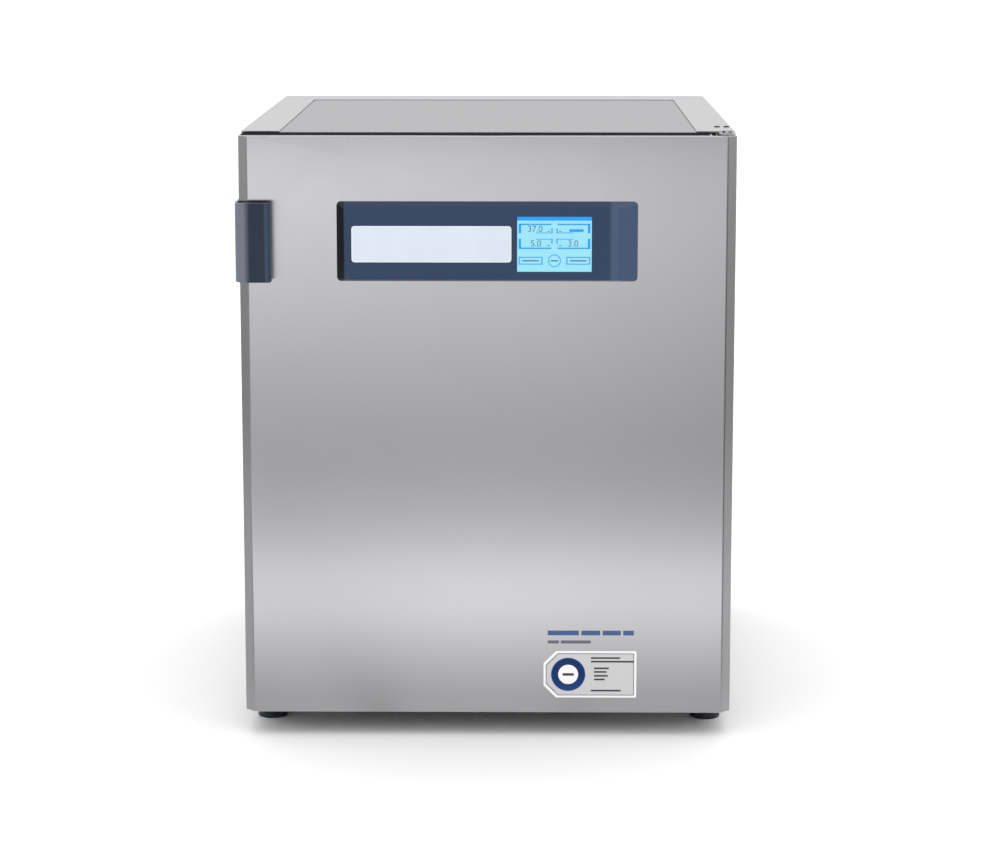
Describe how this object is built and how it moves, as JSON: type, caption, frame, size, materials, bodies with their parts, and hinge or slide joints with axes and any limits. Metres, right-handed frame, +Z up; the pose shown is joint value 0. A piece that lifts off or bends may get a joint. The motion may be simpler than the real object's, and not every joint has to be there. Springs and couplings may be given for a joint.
{
  "type": "laboratory incubator",
  "caption": "Floor or bench standing culture incubator: steel cabinet with a solid hinged door, touch display, glass inner door, sliding shelves and water pan.",
  "frame": {"origin": "on the floor, below the middle of the outer box", "axes": "+X to the right seen from the front, +Y to the back, +Z up; the outer door faces -Y"},
  "size_m": [0.7865, 0.96, 0.97],
  "materials": {
    "stainless": "brushed",
    "liner_steel": "satin",
    "grey_paint": "satin",
    "dark_paint": "satin",
    "zinc": "bright",
    "foam": "matt",
    "black_rubber": "matt",
    "silicone": "matt",
    "blue_plastic": "satin",
    "label": "satin",
    "screen": "gloss",
    "black_plastic": "satin",
    "foot_plastic": "satin",
    "white_plastic": "satin",
    "pcb": "satin",
    "filter": "matt",
    "pane": "polished",
    "brass": "satin",
    "heater": "matt",
    "aluminium": "satin"
  },
  "bodies": {
    "cabinet": {"side_panel_left": "grey_paint", "side_panel_right": "grey_paint", "top_panel": "dark_paint", "rear_top_cover": "grey_paint", "base_pan": "dark_paint", "front_frame": "stainless", "chamber_liner": "liner_steel", "heater_mats": "heater", "insulation_boards": "foam", "glass_door_seal": "silicone", "glass_door_brackets": "liner_steel", "shelf_uprights": "liner_steel", "shelf_supports": "liner_steel", "fan_motor": "aluminium", "air_plenum": "liner_steel", "hepa_filter": "filter", "sensor_head": "white_plastic", "rear_bulkhead": "dark_paint", "rear_panel": "grey_paint", "access_port_tube": "white_plastic", "mains_inlet": "black_plastic", "gas_inlet_stubs": "brass", "gas_valve_block": "aluminium", "injection_tube": "silicone", "control_board": "pcb", "power_supply": "aluminium", "wall_spacers": "black_rubber", "housing_screws": "zinc", "switch_frame": "black_plastic", "door_hinge_brackets": "zinc"},
    "outer_door": {"door_skin": "stainless", "door_insulation": "foam", "door_inner_panel": "liner_steel", "door_hinge_bushes": "white_plastic", "door_gasket": "black_rubber", "control_bezel": "blue_plastic", "label_plate": "label", "touchscreen": "screen", "display_board": "pcb", "door_handle": "blue_plastic"},
    "glass_door": {"glass_pane": "pane", "glass_door_hinges": "liner_steel", "latch_plate": "liner_steel"},
    "shelf_lower": {"shelf_lower": "liner_steel"},
    "shelf_middle": {"shelf_middle": "liner_steel"},
    "shelf_upper": {"shelf_upper": "liner_steel"},
    "water_pan": {"water_pan": "liner_steel"},
    "impeller": {"fan_impeller": "white_plastic"},
    "stopper": {"port_stopper": "silicone"},
    "fuse_tray": {"fuse_drawer": "black_plastic"},
    "rocker": {"power_rocker": "black_plastic"},
    "knob": {"latch_knob": "black_plastic"},
    "pad_front_left": {"foot_pad_front_left": "foot_plastic"},
    "spindle_front_left": {"foot_spindle_front_left": "zinc"},
    "pad_front_right": {"foot_pad_front_right": "foot_plastic"},
    "spindle_front_right": {"foot_spindle_front_right": "zinc"},
    "pad_rear_left": {"foot_pad_rear_left": "foot_plastic"},
    "spindle_rear_left": {"foot_spindle_rear_left": "zinc"},
    "pad_rear_right": {"foot_pad_rear_right": "foot_plastic"},
    "spindle_rear_right": {"foot_spindle_rear_right": "zinc"}
  },
  "joints": [
    {"name": "door_swing", "type": "hinge", "parent": "cabinet", "child": "outer_door", "pos_m": [0.377, -0.408, 0.5], "axis": [0, 0, 1], "range_deg": [0, 110]},
    {"name": "glass_swing", "type": "hinge", "parent": "cabinet", "child": "glass_door", "pos_m": [0.329, -0.366, 0.479], "axis": [0, 0, 1], "range_deg": [0, 99]},
    {"name": "shelf_lower_slide", "type": "slide", "parent": "cabinet", "child": "shelf_lower", "axis": [0, -1, 0], "range_m": [0, 0.19]},
    {"name": "shelf_middle_slide", "type": "slide", "parent": "cabinet", "child": "shelf_middle", "axis": [0, -1, 0], "range_m": [0, 0.19]},
    {"name": "shelf_upper_slide", "type": "slide", "parent": "cabinet", "child": "shelf_upper", "axis": [0, -1, 0], "range_m": [0, 0.19]},
    {"name": "water_pan_slide", "type": "slide", "parent": "cabinet", "child": "water_pan", "axis": [0, -1, 0], "range_m": [0, 0.19]},
    {"name": "fan_spin", "type": "hinge", "parent": "cabinet", "child": "impeller", "pos_m": [0, 0.06, 0.8], "axis": [0, 0, 1], "continuous": true},
    {"name": "latch_turn", "type": "hinge", "parent": "glass_door", "child": "knob", "pos_m": [-0.33, -0.37, 0.484], "axis": [0, -1, 0], "range_deg": [0, 90]},
    {"name": "power_rocker", "type": "hinge", "parent": "cabinet", "child": "rocker", "pos_m": [-0.386, -0.365, 0.124], "axis": [0, -1, 0], "range_deg": [0, 12]},
    {"name": "port_stopper", "type": "slide", "parent": "cabinet", "child": "stopper", "axis": [0, 1, 0], "range_m": [0, 0.06]},
    {"name": "fuse_drawer", "type": "slide", "parent": "cabinet", "child": "fuse_tray", "axis": [0, 1, 0], "range_m": [0, 0.02]},
    {"name": "screw_foot_front_left", "type": "slide", "parent": "cabinet", "child": "pad_front_left", "axis": [0, 0, -1], "range_m": [0, 0.008]},
    {"name": "turn_foot_front_left", "type": "hinge", "parent": "pad_front_left", "child": "spindle_front_left", "pos_m": [-0.357, -0.329, 0.03], "axis": [0, 0, -1], "range_deg": [0, 1921]},
    {"name": "screw_foot_front_right", "type": "slide", "parent": "cabinet", "child": "pad_front_right", "axis": [0, 0, -1], "range_m": [0, 0.008]},
    {"name": "turn_foot_front_right", "type": "hinge", "parent": "pad_front_right", "child": "spindle_front_right", "pos_m": [0.357, -0.329, 0.03], "axis": [0, 0, -1], "range_deg": [0, 1921]},
    {"name": "screw_foot_rear_left", "type": "slide", "parent": "cabinet", "child": "pad_rear_left", "axis": [0, 0, -1], "range_m": [0, 0.008]},
    {"name": "turn_foot_rear_left", "type": "hinge", "parent": "pad_rear_left", "child": "spindle_rear_left", "pos_m": [-0.357, 0.4, 0.03], "axis": [0, 0, -1], "range_deg": [0, 1921]},
    {"name": "screw_foot_rear_right", "type": "slide", "parent": "cabinet", "child": "pad_rear_right", "axis": [0, 0, -1], "range_m": [0, 0.008]},
    {"name": "turn_foot_rear_right", "type": "hinge", "parent": "pad_rear_right", "child": "spindle_rear_right", "pos_m": [0.357, 0.4, 0.03], "axis": [0, 0, -1], "range_deg": [0, 1921]}
  ],
  "couplings": [
    {"joint": "glass_swing", "follows": "door_swing", "ratio": 0.9},
    {"joint": "shelf_lower_slide", "follows": "door_swing", "m_per_rad": 0.095},
    {"joint": "shelf_middle_slide", "follows": "door_swing", "m_per_rad": 0.095},
    {"joint": "shelf_upper_slide", "follows": "door_swing", "m_per_rad": 0.095},
    {"joint": "water_pan_slide", "follows": "door_swing", "m_per_rad": 0.095},
    {"joint": "turn_foot_front_left", "follows": "screw_foot_front_left", "rad_per_m": 4188.8},
    {"joint": "turn_foot_front_right", "follows": "screw_foot_front_right", "rad_per_m": 4188.8},
    {"joint": "turn_foot_rear_left", "follows": "screw_foot_rear_left", "rad_per_m": 4188.8},
    {"joint": "turn_foot_rear_right", "follows": "screw_foot_rear_right", "rad_per_m": 4188.8}
  ]
}
